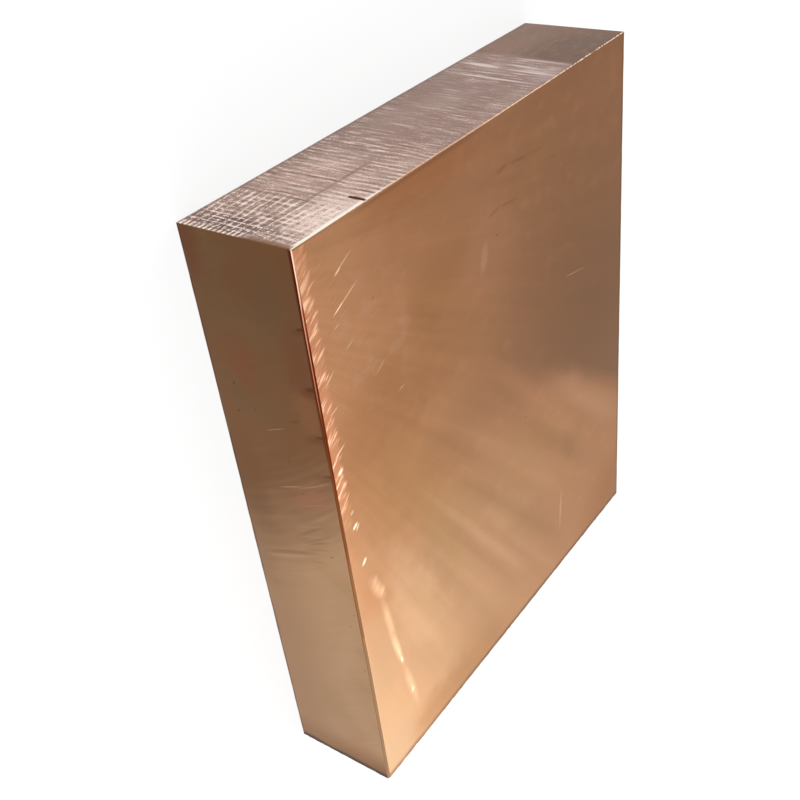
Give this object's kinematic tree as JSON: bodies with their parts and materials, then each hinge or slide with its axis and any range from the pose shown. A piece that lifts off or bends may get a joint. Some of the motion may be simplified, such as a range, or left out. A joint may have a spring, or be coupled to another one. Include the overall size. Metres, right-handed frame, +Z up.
{
  "type": "bronze plate",
  "caption": "Thick rectangular block of rolled bronze plate with rough sawn edges, smooth side edges and a filed upper edge.",
  "frame": {"origin": "centre of the underside of the plate, which lies flat on its broad face", "axes": "+X between the two smooth edges, +Y between the two sawn edges, +Z up through the thickness; the filed edge is the upper edge on the -X side"},
  "size_m": [0.2318, 0.2666, 0.0508],
  "materials": {
    "bronze": "satin, linished, with sawn and tarnished edges"
  },
  "bodies": {
    "root": {"bronze_plate": "bronze"}
  },
  "joints": []
}
